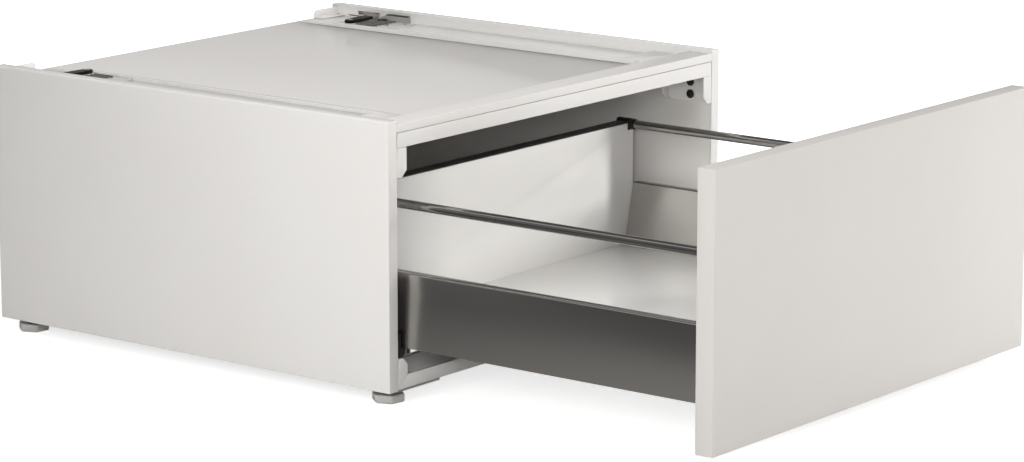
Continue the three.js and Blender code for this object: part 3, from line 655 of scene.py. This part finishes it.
def makeClampBase(side, sizes):
    hand, node = hands[side], "clamp_base_" + side
    bm = bmesh.new()
    ends = sorted((hand * sizes["inner"], hand * sizes["outer"]))
    roundedBlock(bm, cabinetPoint(ends[0], sizes["front"], sizes["low"]),
                 cabinetPoint(ends[1], sizes["rear"], sizes["top"]), sizes["edge"])
    x, y = sizes["pivot"]
    rise = sizes["bossTop"] - sizes["top"]
    turned(bm, [(-0.5, 0), (-0.5, sizes["boss"]), (rise - 0.3, sizes["boss"]),
                (rise, sizes["boss"] - 0.4), (rise, 0)], cabinetPoint(hand * x, y, sizes["top"]))
    piece = smooth(linked(node + "_plate", toMesh(outward(bm), node + "_plate")))
    settle(piece, "cabinet", "clampPaint", [node])
    bm = bmesh.new()
    turned(bm, sizes["pin"], cabinetPoint(hand * x, y, sizes["top"]))
    pin = smooth(linked("leverPin_" + side, toMesh(outward(bm), "leverPin_" + side)))
    settle(pin, "cabinet", "zinc", ())

    bm = bmesh.new()
    roundedBlock(bm, Vector((-sizes["ribWidth"] / 2, 0, -sizes["ribSink"])) * mm,
                 Vector((sizes["ribWidth"] / 2, sizes["ribLength"], sizes["ribHeight"])) * mm,
                 sizes["ribEdge"], 4)
    unit = linked("ribUnit", toMesh(bm, "ribUnit"))
    pitch = (sizes["outer"] - sizes["inner"]) / (sizes["ribs"] + 1)
    ribs = row.grown("treadRibs_" + side, unit=unit, count=sizes["ribs"],
                     first=cabinetPoint(hand * (sizes["inner"] + pitch), sizes["ribFront"],
                                        sizes["top"]),
                     step=(hand * pitch * mm, 0, 0), turn=(0, 0, 0),
                     finish=finishes["treadRubber"])
    settle(smooth(ribs), "cabinet", "treadRubber", ())
    bpy.data.objects.remove(unit)

    reach, half = sizes["crossReach"], sizes["crossHalf"]

    def cross(angle):  # outline of the screw's cross-shaped recess
        c, s = abs(math.cos(angle)) + 1e-6, abs(math.sin(angle)) + 1e-6
        return max(min(reach / c, half / s), min(reach / s, half / c))

    bm = bmesh.new()
    turned(bm, [*sizes["screwHead"], (0.9, cross), (0.3, cross), (0.2, 0)], Vector((0, 0, 0)))
    unit = linked("screwUnit", toMesh(outward(bm), "screwUnit"))
    first, second = (cabinetPoint(hand * x, y, sizes["top"]) for x, y in sizes["screws"])
    screws = row.grown("clampScrews_" + side, unit=unit, count=2, first=first,
                       step=second - first, turn=(0, 0, sizes["crossTurn"]),
                       finish=finishes["zinc"])
    settle(smooth(screws), "cabinet", "zinc", ())
    bpy.data.objects.remove(unit)


# the 0.9 mm black strip on the block's top is painted shade
stopBlock = {"inner": 276.2, "outer": 283.7, "front": 448.5, "rear": 490.5, "low": 276.8,
             "top": 284.9, "slopeFrom": 482.5, "slopeTop": 282.0, "pad": 0.9, "edge": 0.5}


def makeStopBlock(side, sizes):
    hand, node = hands[side], "clamp_wedge_" + side
    bm = bmesh.new()
    outline = [(sizes["front"], sizes["low"]), (sizes["rear"], sizes["low"]),
               (sizes["rear"], sizes["slopeTop"]), (sizes["slopeFrom"], sizes["top"]),
               (sizes["front"], sizes["top"])]
    rows = [[bm.verts.new(cabinetPoint(hand * x, y, z)) for y, z in outline]
            for x in (sizes["inner"], sizes["outer"])]
    bm.faces.new(rows[0])
    bm.faces.new(rows[1])
    for i in range(len(outline)):
        j = (i + 1) % len(outline)
        bm.faces.new([rows[0][i], rows[0][j], rows[1][j], rows[1][i]])
    piece = linked(node + "_block", toMesh(outward(bm), node + "_block"))
    settle(softened(piece, sizes["edge"], 3, 15.0), "cabinet", "blockGrey", [node])
    # painted shade: a thin black strip along the block's top stands in for the line of shade there
    bm = bmesh.new()
    ends = sorted((hand * (sizes["inner"] + 0.3), hand * (sizes["outer"] - 0.3)))
    roundedBlock(bm, cabinetPoint(ends[0], sizes["front"] + 0.4, sizes["top"] - 0.2),
                 cabinetPoint(ends[1], sizes["slopeFrom"] - 0.6, sizes["top"] + sizes["pad"]),
                 0.3)
    pad = smooth(linked("blockPad_" + side, toMesh(bm, "blockPad_" + side)))
    settle(pad, "cabinet", "black", ())


rubberButton = {"at": (267.0, 480.0), "radius": 7.0, "height": 2.6, "low": 278.8}


def makeButton(side, sizes):
    hand, r, h = hands[side], sizes["radius"], sizes["height"]
    bm = bmesh.new()
    turned(bm, [(-0.3, 0), (-0.3, r), (h * 0.45, r), (h * 0.75, r - 0.4), (h * 0.95, r - 1.3),
                (h, r - 2.4), (h, 2.0), (h - 0.5, 1.5), (h - 0.5, 0)],
           cabinetPoint(hand * sizes["at"][0], sizes["at"][1], sizes["low"]))
    piece = smooth(linked("rubberButton_" + side, toMesh(outward(bm), "rubberButton_" + side)))
    settle(piece, "cabinet", "black", ())


for side in hands:
    makeClampBase(side, footClamp)
    makeStopBlock(side, stopBlock)
    makeButton(side, rubberButton)
print("rear clamps made")

studio = {
    "floorSize": 14.0, "floorColor": 0.82, "floorGlow": 0.72, "farGlow": 0.5,
    "glowFrom": 0.6, "glowTo": 1.6,
    "floorMirror": {"dark": 0.10, "front": 0.18, "right": 0.68, "drop": 0.002,
                    "color": (1, 0.975, 0.95, 1)},
    "fill": {"low": 0.05, "high": 0.03, "color": (1.0, 0.968, 0.953, 1)},
    "mirror": {"backdrop": 0.52, "box": 0.6, "sky": 0.06, "dark": 0.09,
               "ahead": (0.788, 0.615)},  # the camera's heading on the ground
    "lamps": {  # aim, azimuth and elevation in degrees, distance, width, height, power
        "keyLow": ((0.05, -0.12, 0.15), 40.0, 7.0, 2.7, 0.26, 0.4, 20.0),
        "keyStrip": ((0.05, -0.12, 0.15), 40.0, 17.0, 2.7, 0.26, 0.7, 19.5),
        "keyHigh": ((0.05, -0.12, 0.15), 40.0, 32.0, 2.7, 0.26, 0.7, 10.5),
        "frontLeft": ((0.0, -0.2, 0.15), -37.0, 8.0, 2.8, 0.8, 0.4, 2.4),
        "frontLeftHigh": ((0.0, -0.2, 0.15), -37.0, 28.0, 2.8, 1.0, 0.8, 2.0),
        "leftSoft": ((-0.3, 0.1, 0.13), -82.0, 22.0, 1.8, 0.7, 0.6, 8.7),
        "leftHigh": ((0.0, -0.1, 0.2), -65.0, 42.0, 2.2, 1.0, 0.8, 9.5),
        "openFill": ((0.25, 0.0, 0.2), -58.0, 13.0, 2.4, 0.5, 0.4, 10.5),
        "topSoft": ((0.0, 0.1, 0.25), 0.0, 85.0, 2.2, 1.6, 1.2, 21.0),
        "backHigh": ((0.0, 0.1, 0.25), 200.0, 55.0, 2.2, 1.2, 0.8, 7.5),
    },
    "lampColor": (1.0, 0.99, 0.976),
}


def placeLamp(aim, azimuth, elevation, distance):
    turn, rise = math.radians(azimuth), math.radians(elevation)
    return Vector(aim) + distance * Vector((math.sin(turn) * math.cos(rise),
                                            -math.cos(turn) * math.cos(rise), math.sin(rise)))


def makeWorld(fill, mirror):
    # diffuse rays get a soft fill, brighter near the horizon; mirror rays see a studio:
    # a white backdrop behind the object, a light box up on the left, darkness beside it
    world = bpy.data.worlds.new("studioWorld")
    world.use_nodes = True
    bpy.context.scene.world = world
    sky = Graph(world.node_tree)
    sky.tree.nodes.clear()
    towards = sky.node("ShaderNodeTexCoord", {}, {}, "Generated")
    x, y, z = sky.parts(towards)
    ahead = x * mirror["ahead"][0] + y * mirror["ahead"][1]
    back = sky.slope(ahead, -0.35, -0.05) * (1 - sky.slope(z, 0.34, 0.5))
    box = sky.slope(x * -1.0, 0.05, 0.35) * sky.slope(z, 0.5, 0.68)
    upper = sky.slope(x, -0.2, 0.2) * sky.slope(z, 0.2, 0.5)
    seen = (back * mirror["backdrop"] + box * mirror["box"]
            + upper * (1 - back) * mirror["sky"] + mirror["dark"])
    soft = fill["low"] + sky.slope(z, 0.0, 0.9) * (fill["high"] - fill["low"])
    path = sky.node("ShaderNodeLightPath", {}, {}).socket.node
    camera = Signal(sky, path.outputs["Is Camera Ray"])
    glossy = Signal(sky, path.outputs["Is Glossy Ray"])
    through = Signal(sky, path.outputs["Is Transmission Ray"])
    plain = camera + through
    rest = (1 - plain) * (1 - glossy)
    strength = plain * 1.0 + glossy * seen + rest * soft
    glow = sky.node("ShaderNodeBackground", {}, {"Color": fill["color"], "Strength": strength})
    white = sky.node("ShaderNodeBackground", {}, {"Color": (1, 1, 1, 1), "Strength": 1.0})
    mixed = sky.node("ShaderNodeMixShader", {}, {0: plain, 1: glow, 2: white})
    leave = sky.tree.nodes.new("ShaderNodeOutputWorld")
    sky.tree.links.new(mixed.socket, leave.inputs[0])


def makeFloor(sizes):  # pale, and white to the camera away from the object
    bm = bmesh.new()
    bmesh.ops.create_grid(bm, x_segments=1, y_segments=1, size=sizes["floorSize"] / 2)
    floor = linked("floor", toMesh(bm, "floor"))
    level = sizes["floorColor"]
    finish = Finish("paleFloor", {"Base Color": (level, level, level, 1), "Roughness": 0.9,
                                  "Specular IOR Level": 0.0, "Emission Color": (1, 1, 1, 1)})
    path = finish.node("ShaderNodeLightPath", {}, {}, "Is Camera Ray")
    reach = finish.node("ShaderNodeVectorMath", {"operation": "LENGTH"},
                        {0: finish.place()}, "Value")
    far = finish.slope(reach, sizes["glowFrom"], sizes["glowTo"])
    glow = sizes["floorGlow"] + far * sizes["farGlow"]
    finish.tree.links.new((path * glow).socket, finish.shader.inputs["Emission Strength"])
    floor.data.materials.append(finish.material)
    floor.visible_glossy = False


def makeMirrorFloor(sizes):
    # what the polished faces see of the floor: dark on the left, bright at the right front
    look = sizes["floorMirror"]
    bm = bmesh.new()
    bmesh.ops.create_grid(bm, x_segments=1, y_segments=1, size=sizes["floorSize"] / 2,
                          matrix=Matrix.Translation((0, 0, -look["drop"])))
    card = linked("mirrorFloor", toMesh(bm, "mirrorFloor"))
    finish = Finish("mirrorFloor", {"Base Color": (0, 0, 0, 1), "Roughness": 1.0,
                                    "Specular IOR Level": 0.0})
    x, y, z = finish.parts(finish.place())
    front = finish.slope(y * -1.0, -0.35, 0.45)
    right = finish.slope(x - y, 0.5, 1.0)
    level = look["dark"] + front * look["front"] + right * look["right"]
    finish.tree.links.new(level.socket, finish.shader.inputs["Emission Strength"])
    finish.shader.inputs["Emission Color"].default_value = look["color"]
    card.data.materials.append(finish.material)
    card.visible_camera = card.visible_diffuse = card.visible_shadow = False


makeWorld(studio["fill"], studio["mirror"])
makeFloor(studio)
makeMirrorFloor(studio)
for name, (aim, azimuth, elevation, distance, width, height, power) in studio["lamps"].items():
    data = bpy.data.lights.new(name, "AREA")
    data.shape, data.size, data.size_y, data.energy = "RECTANGLE", width, height, power
    data.color = studio["lampColor"]
    lamp = linked(name, data)
    lamp.visible_camera = lamp.visible_glossy = False
    lamp.location = placeLamp(aim, azimuth, elevation, distance)
    lamp.rotation_mode = "QUATERNION"
    lamp.rotation_quaternion = (Vector(aim) - lamp.location).to_track_quat("-Z", "Y")
bpy.context.scene.view_settings.view_transform = "Standard"
print("studio ready")
